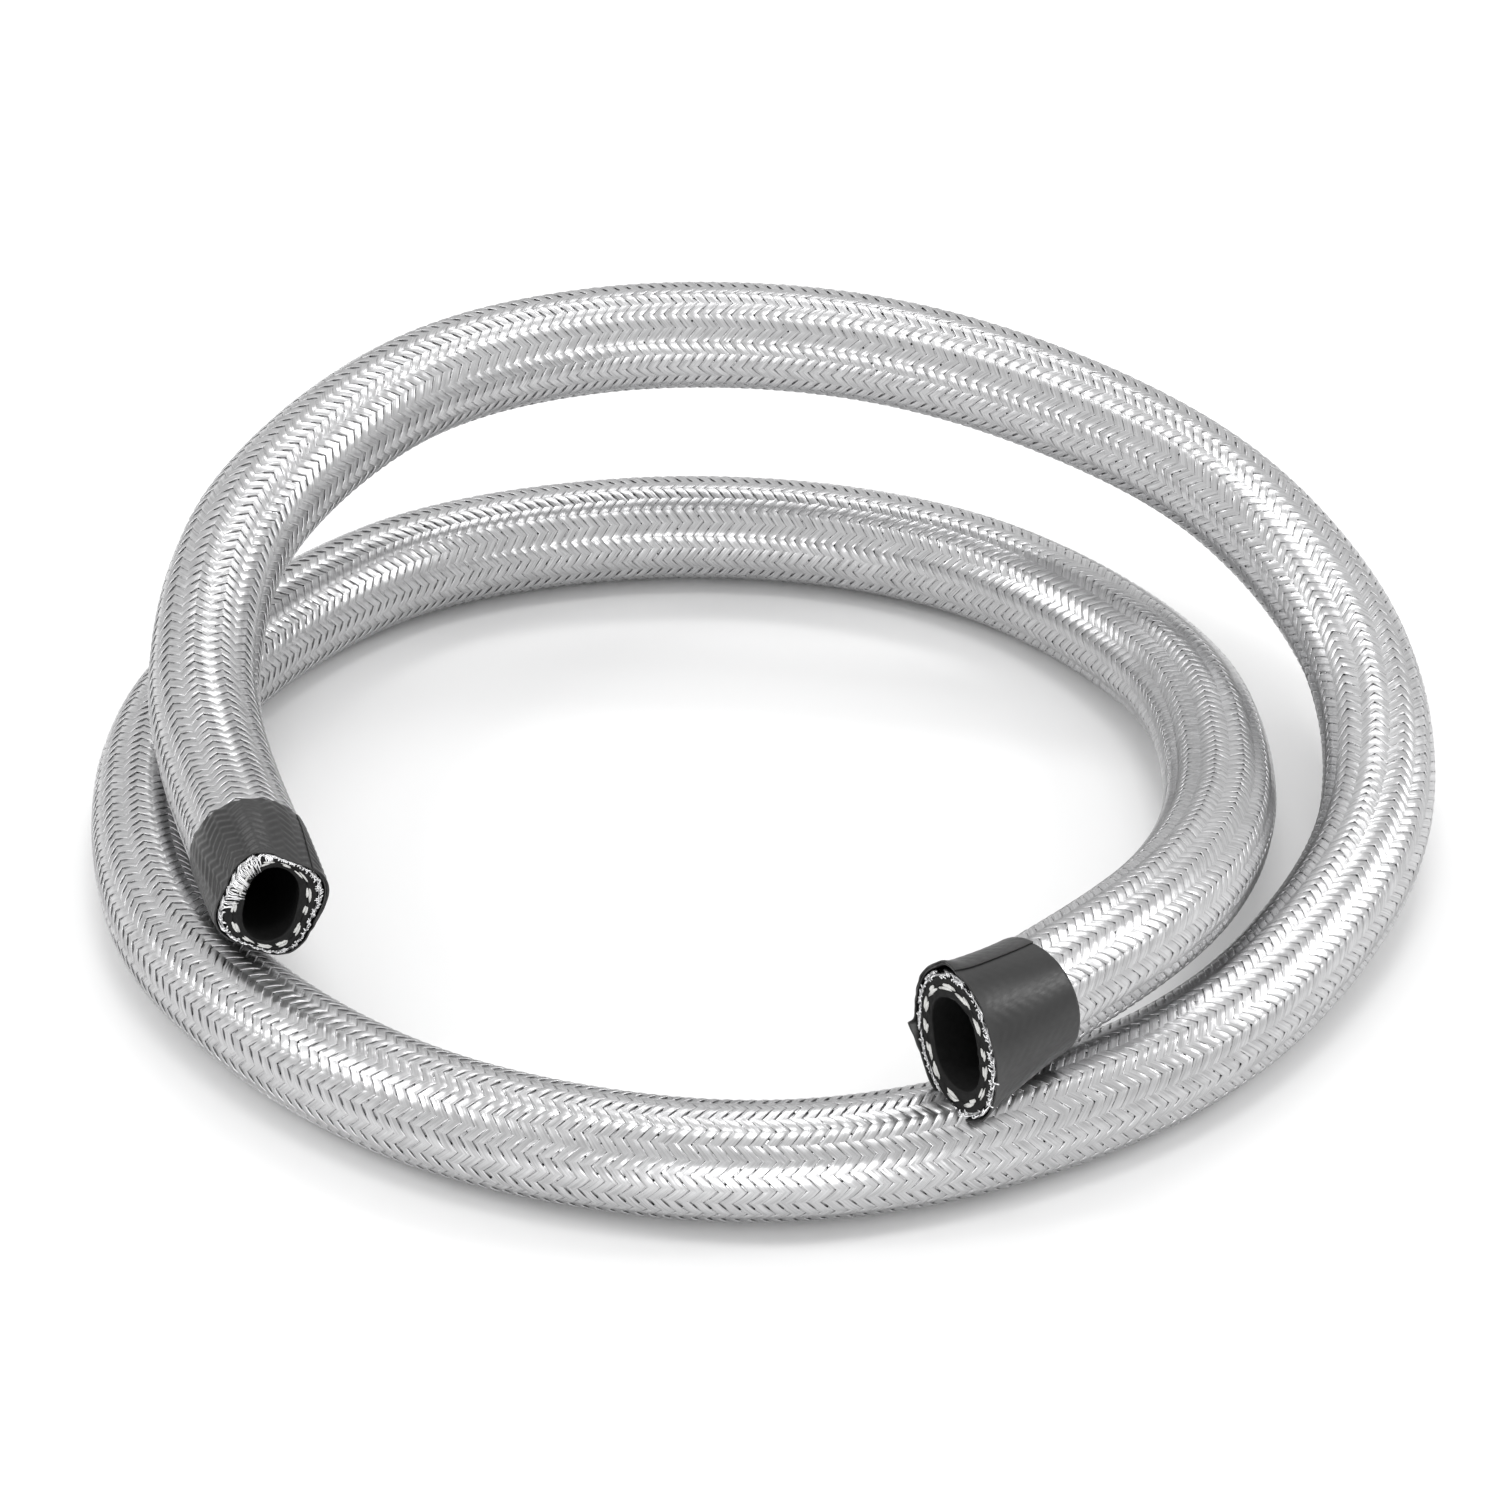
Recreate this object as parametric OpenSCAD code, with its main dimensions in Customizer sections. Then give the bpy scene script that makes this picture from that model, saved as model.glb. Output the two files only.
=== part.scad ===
// Length of wire-braided rubber hose, cut from stock and lying in a springy open coil.
// Both ends are cut square and bound with a turn and a bit of tape.
// From the inside out: rubber liner, yarn braid, rubber cover, wire braid, tape.

/* [Hose wall] */
// Bore of the rubber liner
bore_d = 14.2; // [12:0.1:18]
// Wall of the rubber liner
liner_wall = 1; // [0.6:0.1:2]
// Thickness of the yarn braid
yarn_layer = 0.5; // [0.3:0.1:1]
// Wall of the rubber cover over the yarn
cover_wall = 0.7; // [0.5:0.1:1.5]
// Thickness of the woven wire jacket
wire_layer = 0.7; // [0.4:0.1:1.2]

/* [End tape] */
// Width of the tape band at each cut end
tape_w = 19; // [12:1:22]
// Thickness of one layer of tape
tape_t = 0.2; // [0.1:0.05:0.3]
// Angle over which the tape laps over its own start
lap_angle = 70; // [30:5:180]

/* [Hidden] */

// radii where one layer ends and the next begins
liner_in = bore_d / 2;
liner_out = liner_in + liner_wall;
yarn_out = liner_out + yarn_layer;
cover_out = yarn_out + cover_wall;
hose_r = cover_out + wire_layer;
hose_d = 2 * hose_r;

// Centre line from the right cut face to the left one, for a hose of route_d.
// The first and last pairs are straight stretches; the floor is at zero.
route_d = 20;
route = [
    [31, -94, 31], [52, -72, 30], [73, -39, 25], [81, 1, 17], [76, 42, 12],
    [51, 77, 10], [16, 95, 10], [-26, 98, 10], [-67, 85, 10], [-96, 55, 10],
    [-109, 19, 10], [-104, -27, 10], [-84, -60, 10], [-52, -85, 10], [-11, -97, 10],
    [27, -93, 10], [65, -73, 10], [91, -44, 11], [108, -7, 15], [107, 31, 26],
    [86, 63, 39], [51, 81, 50], [12, 90, 56], [-31, 94, 54], [-67, 81, 50],
    [-93, 50, 41], [-99, 14, 30], [-90, -26, 27], [-82, -54, 30]
];
path = [for (p = route) p * hose_d / route_d];
last = len(path) - 1;

// the bent stretch is swept with this many sides, and this many rings to a span of the route
sides = 12;
steps = 2;
spans = last - 2;
rings = spans * steps;
// ring at which the bent stretch is parted into a lower and an upper turn
middle = rings / 2;
// gap between one stretch of a layer and the next
seam = 0.05;

function unit(v) = v / norm(v);
start_dir = unit(path[1] - path[0]);
finish_dir = unit(path[last] - path[last - 1]);

// direction of travel at a route point, per span
function pull(i) =
    i == 1 ? start_dir * norm(path[2] - path[1]) :
    i == last - 1 ? finish_dir * norm(path[i] - path[i - 1]) :
    (path[i + 1] - path[i - 1]) / 2;

// cubic through path[i] and path[i + 1] at t from 0 to 1, and its slope
function between(i, t) =
    (2 * t ^ 3 - 3 * t ^ 2 + 1) * path[i] + (t ^ 3 - 2 * t ^ 2 + t) * pull(i)
    + (3 * t ^ 2 - 2 * t ^ 3) * path[i + 1] + (t ^ 3 - t ^ 2) * pull(i + 1);
function slope(i, t) =
    (6 * t ^ 2 - 6 * t) * path[i] + (3 * t ^ 2 - 4 * t + 1) * pull(i)
    + (6 * t - 6 * t ^ 2) * path[i + 1] + (3 * t ^ 2 - 2 * t) * pull(i + 1);

// ring k of the sweep: its span, its place on the span, its centre and its direction
function span_of(k) = 1 + min(floor(k / steps), spans - 1);
function place(k) = k / steps - (span_of(k) - 1);
function lifted(p) = [p[0], p[1], max(p[2], hose_r)];
centres = [for (k = [0:rings]) lifted(between(span_of(k), place(k)))];
heads = [for (k = [0:rings]) unit(slope(span_of(k), place(k)))];

// corner s of ring k at radius r, moved ahead along the hose; corner 0 is the lowest
function across(k) = unit(cross(heads[k], [0, 0, 1]));
function corner(k, s, r, ahead) =
    let (a = 360 * s / sides, u = across(k))
    centres[k] + ahead * heads[k] + r * (sin(a) * u - cos(a) * cross(u, heads[k]));

// wall faces along count spans between rings, from point number b on
function wall(b, count, flip) = [
    for (k = [0:count - 1], s = [0:sides - 1])
        let (n = (s + 1) % sides, a = b + k * sides, c = a + sides)
        for (f = [[a + s, a + n, c + n], [a + s, c + n, c + s]])
            flip ? [f[0], f[2], f[1]] : f
];
// flat annulus that closes the ring numbered k of a stretch; its inner points start at m
function cap(k, m, flip) = [
    for (s = [0:sides - 1])
        let (n = (s + 1) % sides, o = k * sides, i = m + k * sides)
        for (f = [[o + s, i + n, o + n], [o + s, i + s, i + n]])
            flip ? [f[0], f[2], f[1]] : f
];

// one layer's turn between two rings of the bent stretch
module turn(r_in, r_out, first, final) {
    count = final - first;
    m = (count + 1) * sides;
    points = [
        for (r = [r_out, r_in], k = [first:final], s = [0:sides - 1])
            corner(k, s, r, k == first && first > 0 ? seam : 0)
    ];
    walls = concat(wall(0, count, false), wall(m, count, true));
    polyhedron(points, concat(walls, cap(0, m, false), cap(count, m, true)));
}

// places its children on a cut face, with +Z running into the hose
module at_face(face, into) {
    z = unit(into);
    translate(face) rotate([0, acos(z[2]), atan2(z[1], z[0])]) children();
}
module at_right() at_face(path[0], path[1] - path[0]) children();
module at_left() at_face(path[last], path[last - 1] - path[last]) children();

// one layer's straight stretch, truly round inside and out
module straight(r_in, r_out, reach) {
    difference() {
        cylinder(r = r_out, h = reach - seam, $fn = 64);
        translate([0, 0, -1]) cylinder(r = r_in, h = reach - seam + 2, $fn = 64);
    }
}

// one layer of the hose: two turns between two straight stretches, each its own solid
module layer(r_in, r_out) {
    at_right() straight(r_in, r_out, norm(path[1] - path[0]));
    turn(r_in, r_out, 0, middle);
    turn(r_in, r_out, middle, rings);
    at_left() straight(r_in, r_out, norm(path[last] - path[last - 1]));
}

// outline of the wound tape, lapped anticlockwise from the angle lap_start on
module tape_outline(lap_start) {
    reach = 3 * hose_r;
    fan = [for (a = [0, lap_angle / 2, lap_angle]) reach * [cos(lap_start + a), sin(lap_start + a)]];
    difference() {
        union() {
            circle(r = hose_r + tape_t, $fn = 64);
            intersection() {
                circle(r = hose_r + 2 * tape_t, $fn = 64);
                polygon(concat([[0, 0]], fan));
            }
        }
        circle(r = hose_r, $fn = 64);
    }
}
module tape_band(lap_start) {
    linear_extrude(tape_w) tape_outline(lap_start);
}

module rubber_liner() color("#262626") layer(liner_in, liner_out);
module yarn_braid() color("#e8e6e0") layer(liner_out, yarn_out);
module rubber_cover() color("#202020") layer(yarn_out, cover_out);
module wire_braid() color("#c9cbce") layer(cover_out, hose_r);
module right_end_tape() color("#2f2f30") at_right() tape_band(110);
module left_end_tape() color("#3a3a3b") at_left() tape_band(110);

rubber_liner();
yarn_braid();
rubber_cover();
wire_braid();
right_end_tape();
left_end_tape();
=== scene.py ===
import math

import bpy
import numpy as np
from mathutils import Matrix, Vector


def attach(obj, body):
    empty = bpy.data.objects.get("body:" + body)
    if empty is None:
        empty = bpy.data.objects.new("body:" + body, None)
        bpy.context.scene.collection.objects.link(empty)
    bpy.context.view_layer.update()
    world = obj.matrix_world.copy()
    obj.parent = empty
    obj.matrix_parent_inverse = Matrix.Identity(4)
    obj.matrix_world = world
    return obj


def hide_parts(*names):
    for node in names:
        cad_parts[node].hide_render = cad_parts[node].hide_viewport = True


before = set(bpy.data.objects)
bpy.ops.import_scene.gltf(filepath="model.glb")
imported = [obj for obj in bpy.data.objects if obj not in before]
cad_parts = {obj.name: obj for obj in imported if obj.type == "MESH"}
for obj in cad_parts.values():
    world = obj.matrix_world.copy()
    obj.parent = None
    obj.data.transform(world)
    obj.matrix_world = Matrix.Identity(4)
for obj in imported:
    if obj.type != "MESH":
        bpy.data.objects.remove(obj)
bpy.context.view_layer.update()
mm = 0.001
turn = 2 * math.pi
print("frame loaded")

# the camera comes first, because the hose is laid out for its view
cameraSetup = {
    "place": (-0.002, -0.764, 0.540),
    "tiltDown": 34,
    "lens": 125.6,
}

cameraData = bpy.data.cameras.new("viewCamera")
cameraData.lens = cameraSetup["lens"]
cameraData.sensor_width = 36
camera = bpy.data.objects.new("viewCamera", cameraData)
camera.location = cameraSetup["place"]
camera.rotation_euler = (math.radians(90 - cameraSetup["tiltDown"]), 0, 0)
bpy.context.scene.collection.objects.link(camera)
bpy.context.scene.camera = camera
print("camera placed")

# all lengths of the hose are in millimetres until a mesh is made
hose = {
    "bore": 7.1,           # radii, from the inside out
    "yarn": 8.35,
    "cover": 9.3,
    "outside": 10.0,
    "station": 0.25,       # between two points of the centre line
    "overrun": 8.0,        # straight line past each cut face
    "perSpan": 60,         # points of the curve between two of the route
    "headingOver": 8,      # stations each way over which the heading is taken
    # points of the centre line, the ones in part.scad; they were worked out by a fit, not set by hand
    "route": [
        (31, -94, 31), (52, -72, 30), (73, -39, 25), (81, 1, 17), (76, 42, 12),
        (51, 77, 10), (16, 95, 10), (-26, 98, 10), (-67, 85, 10), (-96, 55, 10),
        (-109, 19, 10), (-104, -27, 10), (-84, -60, 10), (-52, -85, 10), (-11, -97, 10),
        (27, -93, 10), (65, -73, 10), (91, -44, 11), (108, -7, 15), (107, 31, 26),
        (86, 63, 39), (51, 81, 50), (12, 90, 56), (-31, 94, 54), (-67, 81, 50),
        (-93, 50, 41), (-99, 14, 30), (-90, -26, 27), (-82, -54, 30),
    ],
}


def unit(v):
    return v / np.linalg.norm(v, axis=-1, keepdims=True)


# the same curve as the CAD layers: straight at both ends, a cubic between
def centreLine(route, lowest, perSpan):
    points = np.array(route, float)
    last = len(points) - 1
    pull = np.zeros_like(points)
    pull[2:last - 1] = (points[3:last] - points[1:last - 2]) / 2
    pull[1] = unit(points[1] - points[0]) * np.linalg.norm(points[2] - points[1])
    finish = unit(points[last] - points[last - 1])
    pull[last - 1] = finish * np.linalg.norm(points[last - 1] - points[last - 2])
    t = np.linspace(0, 1, perSpan, endpoint=False)[:, None]
    dense = [points[:1]]
    for i in range(1, last - 1):
        dense.append(
            (2 * t**3 - 3 * t**2 + 1) * points[i] + (t**3 - 2 * t**2 + t) * pull[i]
            + (3 * t**2 - 2 * t**3) * points[i + 1] + (t**3 - t**2) * pull[i + 1]
        )
    dense.append(points[last - 1:])
    dense = np.concatenate(dense)
    dense[:, 2] = np.maximum(dense[:, 2], lowest)
    return dense


# evenly spaced stations along the line, with the centre and the two cross directions at each
def layOut(line, station, overrun, headingOver):
    first, final = unit(line[0] - line[1]), unit(line[-1] - line[-2])
    line = np.concatenate([[line[0] + first * overrun], line, [line[-1] + final * overrun]])
    gone = np.concatenate([[0], np.cumsum(np.linalg.norm(np.diff(line, axis=0), axis=1))]) - overrun
    along = np.arange(-overrun, gone[-1], station)
    centre = np.stack([np.interp(along, gone, line[:, k]) for k in range(3)], axis=1)
    ahead = np.minimum(np.arange(len(along)) + headingOver, len(along) - 1)
    behind = np.maximum(np.arange(len(along)) - headingOver, 0)
    heading = unit(centre[ahead] - centre[behind])
    across = unit(np.cross(heading, [0, 0, 1]))
    over = np.cross(across, heading)
    return along, np.concatenate([centre, across, over], axis=1), gone[-1] - overrun


stations, spine, hoseLength = layOut(
    centreLine(hose["route"], hose["outside"], hose["perSpan"]),
    hose["station"], hose["overrun"], hose["headingOver"],
)
print("centre line laid out,", round(hoseLength, 1), "mm long")

# how the cut has pushed each end out of round; angles are in degrees from the underside
cutEnds = {
    "right": {
        "reach": 21, "fall": 1.3,             # how far in it is felt, and how fast it fades
        "grow": (1.0, 1.12),                  # of the bore and of the jacket's outside
        "oval": ((0.17, 13), (0.17, 13)),     # amount and angle, inside and outside
        "corner": (0.025, 13),                # amount and angle of the four corners, outside
        "slant": (9, 90),                     # degrees off square, and the side that is longest
    },
    "left": {
        "reach": 15, "fall": 1.2,
        "grow": (0.78, 0.865),
        "oval": ((0.145, 19), (0.01, 74)),
        "corner": (0.065, 76),
        "slant": (7, 0),
    },
}


# the pushed radius at a depth from the cut face, and how far the point slips along the hose
def pushed(shape, depth, angle, radius):
    near = np.clip(1 - depth / shape["reach"], 0, 1.1) ** shape["fall"]
    layer = (radius - hose["bore"]) / (hose["outside"] - hose["bore"])
    grow = shape["grow"][0] + (shape["grow"][1] - shape["grow"][0]) * layer
    change = grow - 1
    for (amount, at), share in zip(shape["oval"], (1 - layer, layer)):
        change = change + share * amount * np.cos(2 * (angle - math.radians(at)))
    amount, at = shape["corner"]
    change = change + layer * amount * np.cos(4 * (angle - math.radians(at)))
    slant, longest = (math.radians(x) for x in shape["slant"])
    return radius * (1 + near * change), near * radius * math.tan(slant) * np.cos(angle - longest)


# a place on or in the hose, from the distance along it, the angle round it and the radius
def onHose(along, angle, radius):
    along, angle, radius = np.broadcast_arrays(
        np.asarray(along, float), np.asarray(angle, float), np.asarray(radius, float)
    )
    moved, out = radius, 0
    for name, depth, side in (("right", along, -1), ("left", hoseLength - along, 1)):
        grown, slip = pushed(cutEnds[name], depth, angle, radius)
        moved = moved + grown - radius
        out = out + side * slip
    at = along + out
    base = np.stack([np.interp(at, stations, spine[:, k]) for k in range(9)], axis=-1)
    sideways = (np.sin(angle) * moved)[..., None] * base[..., 3:6]
    upward = (-np.cos(angle) * moved)[..., None] * base[..., 6:9]
    return base[..., 0:3] + sideways + upward


# faces of a sheet of points, rows x columns, that closes on itself across and, if asked, along
def sheetFaces(rows, columns, closeAcross=True, closeAlong=False):
    r = np.arange(rows if closeAlong else rows - 1)[:, None]
    c = np.arange(columns if closeAcross else columns - 1)[None, :]
    right, up = (c + 1) % columns, (r + 1) % rows
    here, above = r * columns, up * columns
    return np.stack([here + c, here + right, above + right, above + c], axis=-1).reshape(-1, 4)


# what the materials read at each point: distance along, place across, and a number of its own
def layStack(along, across, own):
    return np.stack(np.broadcast_arrays(along, across, own), axis=-1)


# rings of points joined into a strand that is capped at both ends
def strand(rings, lay, flip=False):
    n, m = rings.shape[:2]
    quads = sheetFaces(n, m)
    caps = [np.arange(m)[::-1], np.arange(m) + (n - 1) * m]
    if flip:
        quads, caps = quads[:, ::-1], [cap[::-1] for cap in caps]
    return {"points": rings, "quads": quads, "lay": lay, "caps": caps}


# one Blender mesh from several sheets, each with points, quads and maybe end caps and lay
def makePiece(name, sheets, material, nodes=()):
    points, quads, caps, lays, count = [], [], [], [], 0
    for sheet in sheets:
        own = sheet["points"].reshape(-1, 3)
        points.append(own * mm)
        quads.append(sheet["quads"] + count)
        caps += [np.asarray(cap) + count for cap in sheet.get("caps", [])]
        lays.append(sheet["lay"].reshape(-1, 3) if "lay" in sheet else np.zeros_like(own))
        count += len(own)
    points, quads, lays = np.concatenate(points), np.concatenate(quads), np.concatenate(lays)
    corners = np.concatenate([quads.ravel(), *caps])
    sizes = np.concatenate([np.full(len(quads), 4), [len(cap) for cap in caps]]).astype(np.int32)
    starts = np.concatenate([[0], np.cumsum(sizes)[:-1]]).astype(np.int32)
    mesh = bpy.data.meshes.new(name)
    mesh.vertices.add(len(points))
    mesh.vertices.foreach_set("co", points.astype(np.float32).ravel())
    mesh.loops.add(len(corners))
    mesh.loops.foreach_set("vertex_index", corners.astype(np.int32))
    mesh.polygons.add(len(sizes))
    mesh.polygons.foreach_set("loop_start", starts)
    mesh.polygons.foreach_set("use_smooth", np.ones(len(sizes), bool))
    mesh.update(calc_edges=True)
    mesh.validate()
    lay = mesh.attributes.new("lay", "FLOAT_VECTOR", "POINT")
    lay.data.foreach_set("vector", lays.astype(np.float32).ravel())
    mesh.materials.append(material)
    piece = bpy.data.objects.new(name, mesh)
    bpy.context.scene.collection.objects.link(piece)
    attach(piece, "root")
    if nodes:
        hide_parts(*nodes)
    return piece


def startMaterial(name, roughness, metallic=0.0):
    material = bpy.data.materials.new(name)
    material.use_nodes = True
    tree = material.node_tree
    shader = tree.nodes["Principled BSDF"]
    shader.inputs["Roughness"].default_value = roughness
    shader.inputs["Metallic"].default_value = metallic
    return material, tree, shader


def addNoise(tree, source, stretch, detail):
    scale = tree.nodes.new("ShaderNodeVectorMath")
    scale.operation = "MULTIPLY"
    scale.inputs[1].default_value = stretch
    noise = tree.nodes.new("ShaderNodeTexNoise")
    noise.inputs["Scale"].default_value = 1
    noise.inputs["Detail"].default_value = detail
    noise.inputs["Roughness"].default_value = 0.55
    tree.links.new(source, scale.inputs[0])
    tree.links.new(scale.outputs[0], noise.inputs["Vector"])
    return noise.outputs["Fac"]


# drives one of the shader's inputs with a value, through a ramp of two (place, shade) stops
def addRamp(tree, shader, socket, value, stops):
    ramp = tree.nodes.new("ShaderNodeValToRGB")
    for stop, (place, shade) in zip(ramp.color_ramp.elements, stops):
        stop.position = place
        stop.color = (*(shade if isinstance(shade, tuple) else (shade, shade, shade)), 1)
    tree.links.new(value, ramp.inputs["Fac"])
    tree.links.new(ramp.outputs["Color"], shader.inputs[socket])


def addBump(tree, shader, height, strength, distance):
    bump = tree.nodes.new("ShaderNodeBump")
    bump.inputs["Strength"].default_value = strength
    bump.inputs["Distance"].default_value = distance * mm
    tree.links.new(height, bump.inputs["Height"])
    tree.links.new(bump.outputs["Normal"], shader.inputs["Normal"])


def layOf(tree):
    lay = tree.nodes.new("ShaderNodeAttribute")
    lay.attribute_name = "lay"
    return lay.outputs["Vector"]


def objectPlace(tree):
    return tree.nodes.new("ShaderNodeTexCoord").outputs["Object"]


# bright drawn wire: each wire keeps its own shade along the hose, with finer marks on it
def steelWire(name, shades):
    steel = {"roughness": 0.27, "dull": 0.38, "tint": 1.01, "marks": 0.15}
    material, tree, shader = startMaterial(name, steel["roughness"], 1.0)
    lay = layOf(tree)
    low, high = ((shade, shade, shade * steel["tint"]) for shade in shades)
    tone = addNoise(tree, lay, (0.03, 0.9, 0.7), 2)
    addRamp(tree, shader, "Base Color", tone, [(0.3, low), (0.7, high)])
    marks = addNoise(tree, lay, (1.4, 7, 3), 3)
    addRamp(tree, shader, "Roughness", marks, [(0.35, steel["roughness"]), (0.75, steel["dull"])])
    addBump(tree, shader, addNoise(tree, lay, (0.9, 11, 5), 2), steel["marks"], 0.02)
    return material


def blackRubber(name, shade):
    rubber = {"roughness": 0.7, "gloss": 0.25, "cloud": 900, "grain": 2600}
    material, tree, shader = startMaterial(name, rubber["roughness"])
    shader.inputs["Specular IOR Level"].default_value = rubber["gloss"]
    place = objectPlace(tree)
    cloud = addNoise(tree, place, (rubber["cloud"],) * 3, 4)
    addRamp(tree, shader, "Base Color", cloud, [(0.3, shade * 0.7), (0.75, shade * 1.5)])
    addBump(tree, shader, addNoise(tree, place, (rubber["grain"],) * 3, 3), 0.5, 0.08)
    return material


def whiteYarn():
    fibre = {"roughness": 0.85, "low": (0.42, 0.42, 0.41), "high": (0.74, 0.74, 0.72)}
    material, tree, shader = startMaterial("whiteYarn", fibre["roughness"])
    fibres = addNoise(tree, layOf(tree), (1.2, 26, 3), 3)
    addRamp(tree, shader, "Base Color", fibres, [(0.3, fibre["low"]), (0.62, fibre["high"])])
    addBump(tree, shader, fibres, 0.5, 0.06)
    return material


# smooth plastic tape with a soft sheen, slightly clouded where it has been stretched and handled
def tape(name, shade, roughness):
    plastic = {"gloss": 0.5, "worn": 0.12, "creases": 0.18}
    material, tree, shader = startMaterial(name, roughness)
    shader.inputs["Specular IOR Level"].default_value = plastic["gloss"]
    lay = layOf(tree)
    cloud = addNoise(tree, lay, (0.12, 0.35, 1), 3)
    addRamp(tree, shader, "Base Color", cloud, [(0.3, shade * 0.8), (0.75, shade * 1.3)])
    worn = addNoise(tree, lay, (0.5, 2.2, 1), 4)
    stops = [(0.35, roughness), (0.7, roughness + plastic["worn"])]
    addRamp(tree, shader, "Roughness", worn, stops)
    addBump(tree, shader, addNoise(tree, lay, (1.1, 3.4, 1), 3), plastic["creases"], 0.05)
    return material


steelMaterial = steelWire("steelWire", (0.43, 0.63))
# the cut wire ends use a copy of the wire steel made much lighter, a painted highlight for the glint
# the thin ends catch
glintPaintedSteelMaterial = steelWire("cutSteelPaintedGlint", (0.72, 0.95))
# the liner is black rubber made darker than the cover, painted shade for the deep bore it lines
linerMaterialPaintedShade = blackRubber("linerRubberWithPaintedShade", 0.007)
coverMaterial = blackRubber("coverRubber", 0.009)
yarnMaterial = whiteYarn()
blackTape = tape("blackTape", 0.011, 0.33)
greyTape = tape("greyTape", 0.012, 0.3)
print("materials made")

# rubber tubes, one ring of points every few millimetres and more towards the cut faces
tube = {
    "step": 3.0, "sides": 72,
    "ends": (0, 0.4, 1.2, 2.2),    # rings near a cut face, by their depth
    "clear": 4,                    # depth at which the even rings begin
    "faceRings": 5, "faceRough": 0.07,
}


def rubberTube(name, inner, outer, material, node):
    ends = np.array(tube["ends"])
    middle = np.arange(tube["clear"], hoseLength - tube["clear"], tube["step"])
    along = np.concatenate([ends, middle, hoseLength - ends[::-1]])
    faces = np.linspace(inner, outer, tube["faceRings"] + 2)[1:-1]
    profile = np.array(
        [(s, inner) for s in along] + [(hoseLength, r) for r in faces]
        + [(s, outer) for s in along[::-1]] + [(0, r) for r in faces[::-1]]
    )
    angle = np.linspace(0, turn, tube["sides"], endpoint=False)[None, :]
    rough = chance.normal(0, tube["faceRough"], (len(profile), tube["sides"]))
    onFace = np.isin(profile[:, 0], (0, hoseLength))[:, None]
    points = onHose(profile[:, :1] + np.where(onFace, rough, 0), angle, profile[:, 1:])
    quads = sheetFaces(len(profile), tube["sides"], True, True)
    return makePiece(name, [{"points": points, "quads": quads}], material, (node,))


chance = np.random.default_rng(11)
rubberCover = rubberTube(
    "rubberCover", hose["yarn"], hose["cover"], coverMaterial, "rubber_cover"
)
rubberLiner = rubberTube(
    "rubberLiner", hose["bore"], hose["yarn"], linerMaterialPaintedShade, "rubber_liner"
)
print("rubber tubes made")

# yarns laid both ways in the rubber; they cross at both cut faces, where they show as white dashes
yarn = {
    "count": 13,
    "turns": 29.5,
    "width": 2.3,      # round the hose
    "thick": 0.34,
    "widths": (0.6, 1.15), "thicks": (0.7, 1.2), "stray": 0.05,    # how much they differ
    "square": 0.7,     # under 1 flattens the sides
    "lift": 0.17,      # off the middle of the layer, out for one way and in for the other
    "step": 2.6,
    "sides": 8,
    "proud": 0.3,
}


def yarnSheets():
    sheets = []
    along = np.arange(-yarn["proud"], hoseLength + yarn["proud"] + yarn["step"], yarn["step"])
    along = np.minimum(along, hoseLength + yarn["proud"])[:, None]
    ring = np.linspace(0, turn, yarn["sides"], endpoint=False)[None, :]
    flat = np.sign(np.cos(ring)) * np.abs(np.cos(ring)) ** yarn["square"]
    for way in (1, -1):
        for i in range(yarn["count"]):
            width = yarn["width"] * chance.uniform(*yarn["widths"])
            thick = yarn["thick"] * chance.uniform(*yarn["thicks"])
            start = turn * i / yarn["count"] + chance.normal(0, yarn["stray"])
            angle = start + way * turn * yarn["turns"] * along / hoseLength
            radius = hose["yarn"] + way * yarn["lift"] + thick / 2 * np.sin(ring)
            points = onHose(along, angle + width / 2 / hose["yarn"] * flat, radius)
            sheets.append(strand(points, layStack(along, flat, i + 40.0 * way)))
    return sheets


chance = np.random.default_rng(12)
yarnBraid = makePiece("yarnBraid", yarnSheets(), yarnMaterial, ("yarn_braid",))
print("yarn braid made")

# the jacket: flat plaits of parallel wires, each high over two crossings and low under the next two;
# a real weave sets the two ways two crossings apart, and these are set one apart, so at every other
# crossing both plaits lie equally high and run through each other
weave = {
    "plaits": 24,          # each way
    "lead": 51.1,          # along the hose for one turn
    "wires": 6,
    "width": 0.92,         # share of a plait's pitch that it fills
    "low": 9.41,           # middle radius of a plait that runs under
    "high": 9.80,          # and over
    "arch": 1.15,          # over 1 flattens the tops
    "thick": 0.22,
    "groove": 0.038,       # between two wires
    "crown": 0.07,         # how much the middle wires stand up
    "crownUnder": 0.4,     # share of that where the plait is under
    # how far a plait strays, its width differs and its wires rise, and over how many rings
    "stray": (0.045, 9), "widths": (0.035, 7), "rises": (0.009, 11),
    # rings of a plait in each over-and-under, in crossings
    "rings": (-0.12, 0.5, 1.12, 1.88, 2.5, 3.12),
    "pieces": 8,           # each way
}


# one random value for each ring, changing evenly from one knot to the next
def smoothNoise(count, spacing):
    knots = chance.normal(0, 1, int(count / spacing) + 3)
    x = np.arange(count) / spacing
    return np.interp(x, np.arange(len(knots)), knots)


# how high a plait lies, from -1 under to 1 over, after so many crossings
def overUnder(crossings, arch):
    return np.clip(arch * np.cos(turn / 4 * (crossings - 0.5)), -1, 1)


# where the rings of one plait lie, counted in the plaits of the other way that it has crossed
def plaitRings(way, number, crossings):
    # the plait is high for two of each four of the sum of both counts, low for the rest
    offset = -(number % 4) + (2 if way < 0 else 0)
    first = math.floor((number - offset) / 4) - 1
    repeats = 4 * (first + np.arange(int(crossings / 4) + 4))
    crossed = (repeats[:, None] + np.array(weave["rings"])[None, :] + offset).ravel()
    crossed = crossed[(crossed > number - 0.9) & (crossed < number + crossings + 0.9)]
    return np.unique(np.clip(crossed, number, number + crossings))


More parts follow.
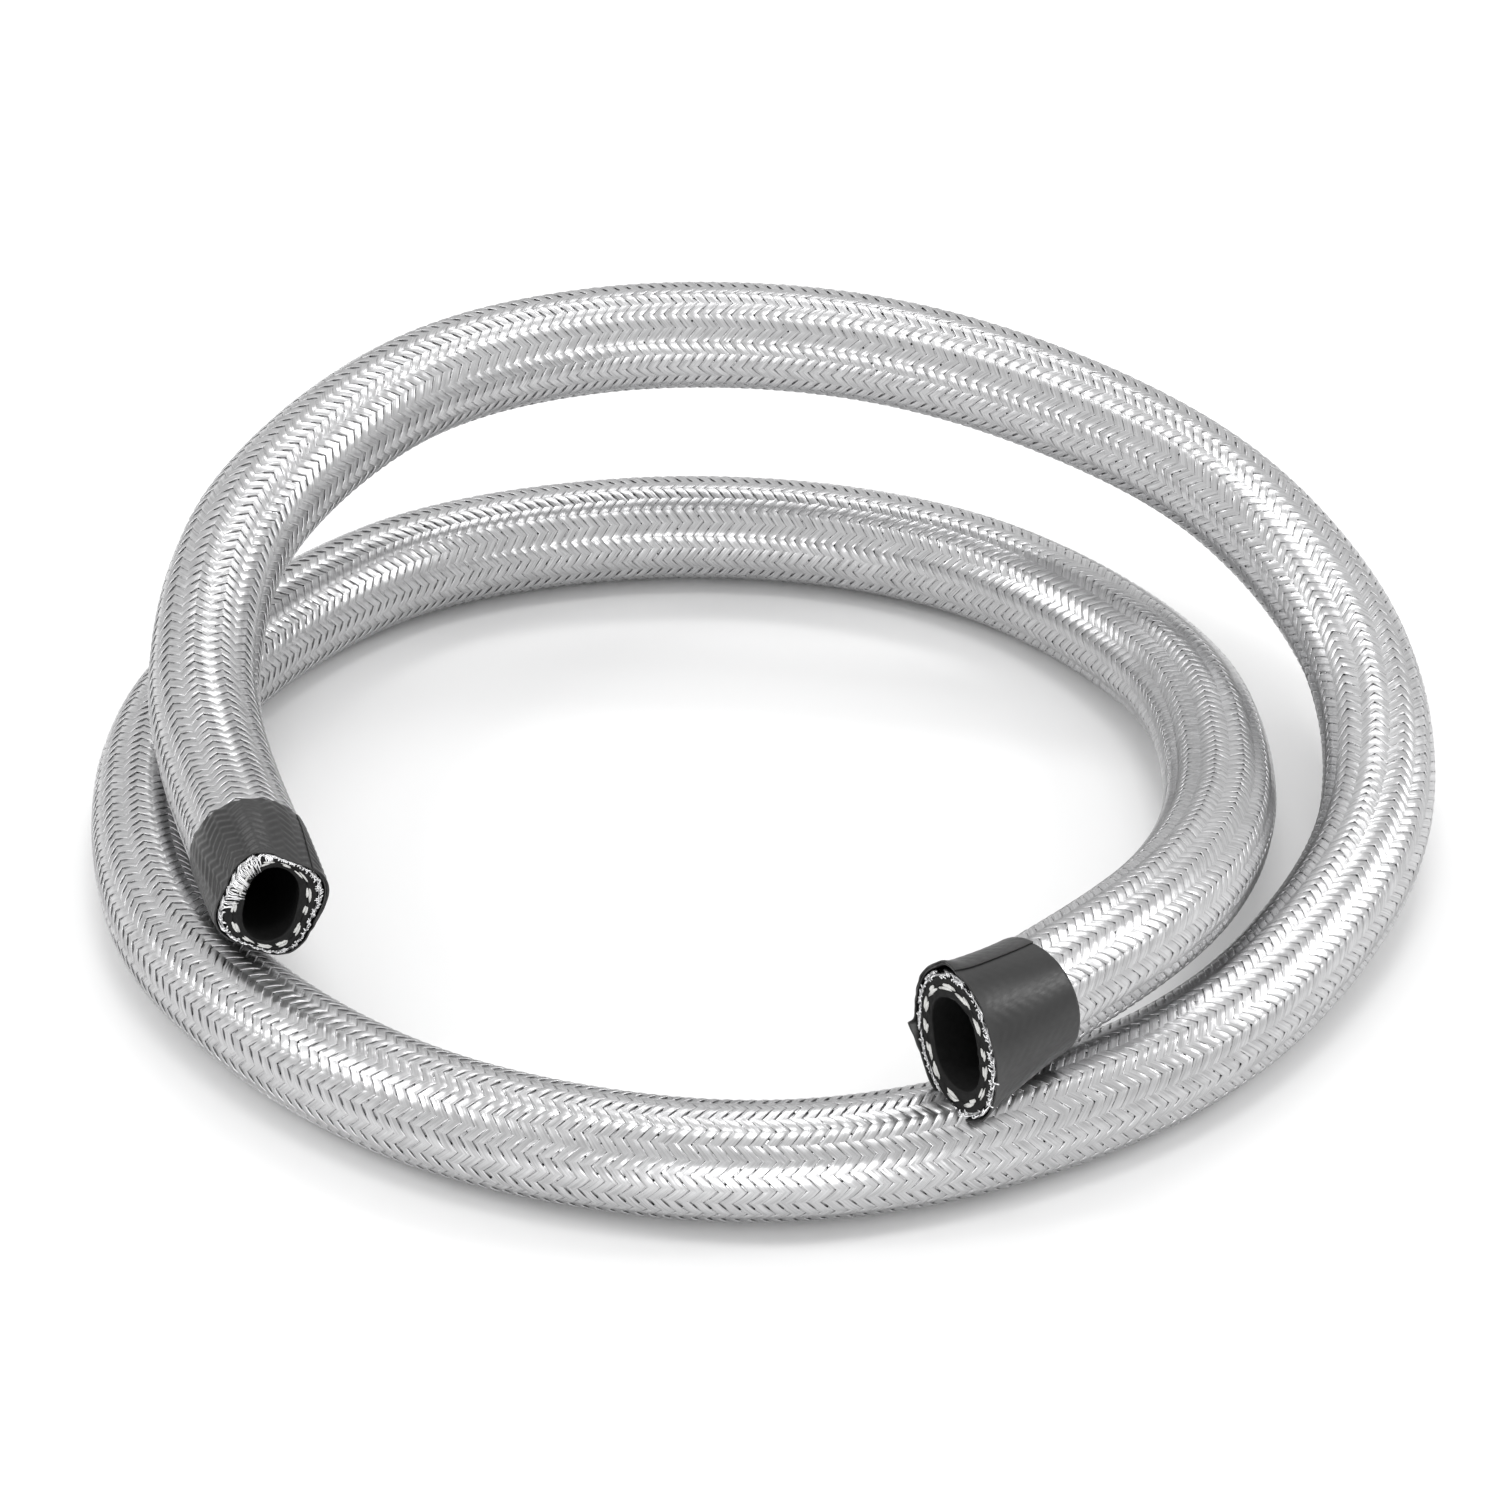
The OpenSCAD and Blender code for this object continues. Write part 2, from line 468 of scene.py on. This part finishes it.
def plaitSheet(way, number):
    pitch = weave["lead"] / (2 * weave["plaits"])
    step = turn / (2 * weave["plaits"])
    crossed = plaitRings(way, number, hoseLength / pitch)
    count = len(crossed)
    rise = (overUnder(number + crossed, weave["arch"]) * way)[:, None]
    # two points for each wire across the top, a ridge and a groove, and two below
    wires = weave["wires"]
    across = np.arange(2 * wires + 1)
    lanes = np.linspace(-0.5, 0.5, 2 * wires + 1)
    groove = np.where(across % 2, 0, -weave["groove"])
    most, spacing = weave["stray"]
    stray = smoothNoise(count, spacing) * most
    most, spacing = weave["widths"]
    fill = weave["width"] * (1 + most * smoothNoise(count, spacing))
    lane = number + stray[:, None] + lanes[None, :] * fill[:, None]
    most, spacing = weave["rises"]
    lift = np.stack([smoothNoise(count, spacing) for _ in range(wires)], axis=1) * most
    lift = np.repeat(lift, 2, axis=1)
    lift = np.concatenate([lift, lift[:, -1:]], axis=1)
    middle = weave["low"] + (weave["high"] - weave["low"]) * (rise + 1) / 2
    under = weave["crownUnder"]
    crown = weave["crown"] * (under + (1 - under) * np.maximum(rise, 0))
    bow = crown * (1 - (2 * lanes[None, :]) ** 2)
    top = middle + weave["thick"] / 2 + groove[None, :] + bow + lift
    bottom = np.repeat(middle - weave["thick"] / 2, 2, axis=1)
    lane = np.concatenate([lane, lane[:, [-1, 0]]], axis=1)
    radius = np.concatenate([top, bottom], axis=1)
    along = np.clip((crossed[:, None] - lane) * pitch, 0, hoseLength)
    points = onHose(along, way * step * (lane + crossed[:, None]), radius)
    wire = np.concatenate([across // 2, [wires, 0]])[None, :]
    lay = layStack(along, wire * 1.0, number * 3.0 + (100 if way > 0 else 0))
    return strand(points, lay, flip=way > 0)


chance = np.random.default_rng(13)
for way, letter in ((1, "a"), (-1, "b")):
    perPiece = weave["plaits"] // weave["pieces"]
    for k in range(weave["pieces"]):
        sheets = [plaitSheet(way, number) for number in range(k * perPiece, (k + 1) * perPiece)]
        name = f"wirePlaits_{letter}{k}"
        makePiece(name, sheets, steelMaterial, ("wire_braid",))

# loose ends of the cut wires at each face, dragged inward on one side of the left one
cutWires = {
    "count": 288, "radius": 0.12, "sides": 5,
    "missing": {"right": 0.5, "left": 0.28},    # share of them left out
    "bunch": 6,                  # of one way, then as many of the other
    "base": (9.5, 9.8),          # radius of a wire of each way
    "inside": 1.4,
    "proud": (0.02, 0.35),
    "slope": math.radians(7),    # round the hose for each millimetre along it
    "spread": 0.4, "rough": 0.08, "bend": 0.03,    # how much they differ, by place, radius and bend
    "pulls": (0.5, 1.1),
    "drag": {                    # angle, reach to each side, how far inward
        "right": [(0.0, 360, 0.35)],
        "left": [(0.0, 360, 0.4), (139, 48, 2.3)],
    },
    "strays": {"right": [(86, 1.1), (59, 0.8)], "left": []},    # angle, and how far it stands out
    "strayShape": (0.5, 0.02),   # how proud, and its bend
}


# one wire that comes out of the face and is bent inward by pull, or outward where pull is negative
def wireEnd(side, degrees, pull, proud, bend, base, way, number):
    ring = np.linspace(0, turn, cutWires["sides"], endpoint=False)
    depth = np.array([cutWires["inside"], 0.5, -0.25 * proud, -proud, -proud * 0.9, -proud * 0.7])
    inward = pull * np.array([0, 0, 0.04, 0.3, 0.65, 1])
    aside = bend * np.array([0, 0, 0.3, 0.6, 1, 1.3])
    angle = math.radians(degrees) + way * cutWires["slope"] * depth + aside
    radius = np.maximum(base - inward, hose["bore"] + 0.1)
    line = onHose(depth if side == "right" else hoseLength - depth, angle, radius)
    ahead = unit(np.gradient(line, axis=0))
    sideways = unit(np.cross(ahead, [0.31, 0.17, 0.94]))
    above = np.cross(sideways, ahead)
    cosine, sine = np.cos(ring)[None, :, None], np.sin(ring)[None, :, None]
    around = cosine * sideways[:, None] + sine * above[:, None]
    points = line[:, None] + cutWires["radius"] * around
    return strand(points, layStack(depth[:, None], ring[None, :], number * 1.7), flip=True)


def wireEnds(side):
    sheets = []
    spread, rough = cutWires["spread"], cutWires["rough"]
    for i in range(cutWires["count"]):
        if chance.random() < cutWires["missing"][side]:
            continue
        degrees = 360 * (i + chance.uniform(-spread, spread)) / cutWires["count"]
        bunch = (i // cutWires["bunch"]) % 2
        way = 1 if bunch else -1
        base = cutWires["base"][bunch] + chance.uniform(-rough, rough)
        proud = chance.uniform(*cutWires["proud"])
        pull = 0
        for middle, reach, amount in cutWires["drag"][side]:
            away = abs((degrees - middle + 180) % 360 - 180) / reach
            pull += amount * max(0, 1 - away**4) * chance.uniform(*cutWires["pulls"])
        bend = chance.normal(0, cutWires["bend"])
        sheets.append(wireEnd(side, degrees, pull, proud, bend, base, way, i))
    proud, bend = cutWires["strayShape"]
    for degrees, outward in cutWires["strays"][side]:
        base = cutWires["base"][1]
        sheets.append(wireEnd(side, degrees, -outward, proud, bend, base, 1, degrees))
    return sheets


chance = np.random.default_rng(14)
rightWires = makePiece("rightCutWires", wireEnds("right"), glintPaintedSteelMaterial)
leftWires = makePiece("leftCutWires", wireEnds("left"), glintPaintedSteelMaterial)
print("cut wire ends made")

# tape wound once round each end, with its outer end lapped over its start
tapeBand = {
    "width": 19, "thick": 0.2, "gap": 0.03,
    "lap": 70, "ramp": 9,
    "crowd": 1.25,             # over 1 crowds the rows towards the cut face
    # roughness of the edge at the cut face, points round the band, and where it lies on average
    "frontEdge": (0.1, 60, -0.05),
    "backEdge": (0.12, 14),
    "ripple": (0.035, 22, 9),  # height, points round the band, and how far in it is felt
    "nick": (0.32, 0.4, 0.06),    # depth, half width, and slant in millimetres for each degree
    "tearFade": 1.1,
    "printArch": 1.35,         # how squarely the plaits show through, and how far in that begins
    "printFrom": 2,
    "right": {
        "outerEnd": 184, "rows": 66, "columns": 300,
        "lip": (0.12, 1.6),                      # how far the edge stands out, and its reach in
        "print": 0.012,                          # how high the plaits show through
        "folds": [(193, 8, 2.8, 0.42)],          # angle, half width, reach along, height
        "tears": [(280, 4, 24, 0.5, 0.9)],       # angle, two half widths, past the face, outward
        "nicks": [(44, 2.6, 8), (38, 4.4, 11)],  # angle, depth in, half length in degrees
        "setBack": [],                           # angle, half width, how far
    },
    "left": {
        "outerEnd": 236, "rows": 80, "columns": 420,
        "lip": (0.05, 1.5), "print": 0.085,
        "folds": [], "tears": [], "nicks": [],
        "setBack": [(139, 50, 0.5)],
    },
}


def bandSheet(side):
    own = tapeBand[side]
    rows, columns = own["rows"], own["columns"]
    sweep = math.radians(360 + tapeBand["lap"])
    travel = np.linspace(0, sweep, columns)[None, :]
    angle = math.radians(own["outerEnd"]) + travel
    degrees = np.degrees(angle)
    share = np.linspace(0, 1, rows)[:, None] ** tapeBand["crowd"]

    # degrees from a place, the nearer way round
    def away(middle):
        return (degrees - middle + 180) % 360 - 180

    # 1 at a place and falling off to both sides, or to a point where a second width is given
    def hump(middle, before, after=None):
        width = np.where(away(middle) < 0, before, after or before)
        return np.exp(-np.abs(away(middle) / width) ** (1.2 if after else 2))

    # uneven heights at so many knots, joined by straight lines
    def ragged(places, first, last, knots, spread=1):
        return np.interp(places, np.linspace(first, last, knots), chance.normal(0, spread, knots))

    # the two edges, and the rows between them
    rough, knots, mean = tapeBand["frontEdge"]
    front = rough * ragged(travel, 0, sweep, knots) + mean
    for middle, before, after, past, outward in own["tears"]:
        front = front - past * hump(middle, before, after)
    for middle, halfWidth, amount in own["setBack"]:
        front = front + amount * hump(middle, halfWidth)
    rough, knots = tapeBand["backEdge"]
    back = tapeBand["width"] + rough * ragged(travel, 0, sweep, knots)
    depth = front + (back - front) * share
    inward = np.maximum(depth, 0)

    # the outer end rides on the start
    lapEnd, ramp = math.radians(tapeBand["lap"]), math.radians(tapeBand["ramp"])
    level = np.clip((lapEnd + ramp - travel) / ramp, 0, 1)
    level = level * level * (3 - 2 * level)
    radius = hose["outside"] + tapeBand["gap"] + tapeBand["thick"] * level
    lip, lipReach = own["lip"]
    radius = radius + lip * np.exp(-inward / lipReach)
    for middle, halfWidth, reach, height in own["folds"]:
        radius = radius + height * hump(middle, halfWidth) * np.exp(-((inward / reach) ** 2))
    for middle, before, after, past, outward in own["tears"]:
        fade = np.exp(-np.maximum(depth + past, 0) / tapeBand["tearFade"])
        radius = radius + outward * hump(middle, before, after) * fade
    nickDeep, nickWide, nickSlant = tapeBand["nick"]
    for middle, nickAt, halfLength in own["nicks"]:
        slanted = depth - nickAt - nickSlant * away(middle)
        radius = radius - nickDeep * hump(middle, halfLength) * np.exp(-((slanted / nickWide) ** 2))

    # the plaits under the tape print through it
    along = depth if side == "right" else hoseLength - depth
    aroundCount = angle / (turn / weave["plaits"])
    alongCount = along / (weave["lead"] / weave["plaits"])
    first, second = aroundCount - alongCount, aroundCount + alongCount
    rise = overUnder(first + second, tapeBand["printArch"])
    ribs = (1 + rise) / 2 * np.cos(turn * first) + (1 - rise) / 2 * np.cos(turn * second)
    radius = radius + own["print"] * ribs * np.clip(depth / tapeBand["printFrom"], 0, 1)
    height, knots, reach = tapeBand["ripple"]
    ripple = ragged(degrees, degrees.min(), degrees.max(), knots, height)
    radius = radius + ripple * np.exp(-inward / reach)

    # outer and inner side in one sheet, closed along the two edges and then at the two ends
    outer = onHose(along, angle, radius + tapeBand["thick"])
    inner = onHose(along, angle, radius)
    lay = layStack(depth, travel * hose["outside"], 1.0)
    points = np.concatenate([outer, inner[::-1]], axis=0)
    lay = np.concatenate([lay, lay[::-1]], axis=0)
    n, m = points.shape[:2]
    edges = []
    for column, flip in ((0, False), (m - 1, True)):
        for k in range(rows - 1):
            corners = [row * m + column for row in (k, k + 1, n - 2 - k, n - 1 - k)]
            edges.append(corners[::-1] if flip else corners)
    quads = np.concatenate([sheetFaces(n, m, False, True), np.array(edges)])
    if side == "right":
        quads = quads[:, ::-1]
    return {"points": points, "quads": quads, "lay": lay}


chance = np.random.default_rng(15)
rightTape = makePiece(
    "rightEndTape", [bandSheet("right")], blackTape, ("right_end_tape",)
)
leftTape = makePiece(
    "leftEndTape", [bandSheet("left")], greyTape, ("left_end_tape",)
)
print("tape bands wound")

studio = {
    "floor": 3.0,
    "floorShade": 0.9,
    "sky": 0.88,
    "lamps": [
        # name, place, width, height, power
        ("topSoftbox", (0.05, -0.22, 1.5), 0.5, 0.28, 3.8),
        ("backSoftbox", (0.1, 0.8, 1.2), 0.9, 0.2, 3.2),
        ("frontSoftbox", (-0.1, -1.5, 0.2), 0.9, 0.16, 4.8),
        ("leftSoftbox", (-1.2, -0.1, 0.9), 0.25, 0.6, 4.0),
        ("rightSoftbox", (1.2, 0.1, 0.8), 0.25, 0.6, 4.0),
    ],
}


def studioFloor():
    half = studio["floor"] / 2
    corners = [(-half, -half, 0), (half, -half, 0), (half, half, 0), (-half, half, 0)]
    mesh = bpy.data.meshes.new("studioFloor")
    mesh.from_pydata(corners, [], [(0, 1, 2, 3)])
    material, tree, shader = startMaterial("paleFloor", 0.6)
    shade = studio["floorShade"]
    shader.inputs["Base Color"].default_value = (shade, shade, shade, 1)
    mesh.materials.append(material)
    floor = bpy.data.objects.new("studioFloor", mesh)
    bpy.context.scene.collection.objects.link(floor)


def softbox(name, place, width, height, power):
    lamp = bpy.data.lights.new(name, "AREA")
    lamp.shape = "RECTANGLE"
    lamp.size, lamp.size_y = width, height
    lamp.energy = power
    lampObject = bpy.data.objects.new(name, lamp)
    lampObject.location = place
    lampObject.rotation_euler = Vector(place).to_track_quat("Z", "Y").to_euler()
    bpy.context.scene.collection.objects.link(lampObject)


studioFloor()
for lamp in studio["lamps"]:
    softbox(*lamp)
world = bpy.data.worlds.new("studioWorld")
world.use_nodes = True
background = world.node_tree.nodes["Background"]
background.inputs["Color"].default_value = (1, 1, 1, 1)
background.inputs["Strength"].default_value = studio["sky"]
bpy.context.scene.world = world
bpy.context.scene.view_settings.view_transform = "Standard"
print("studio lit")
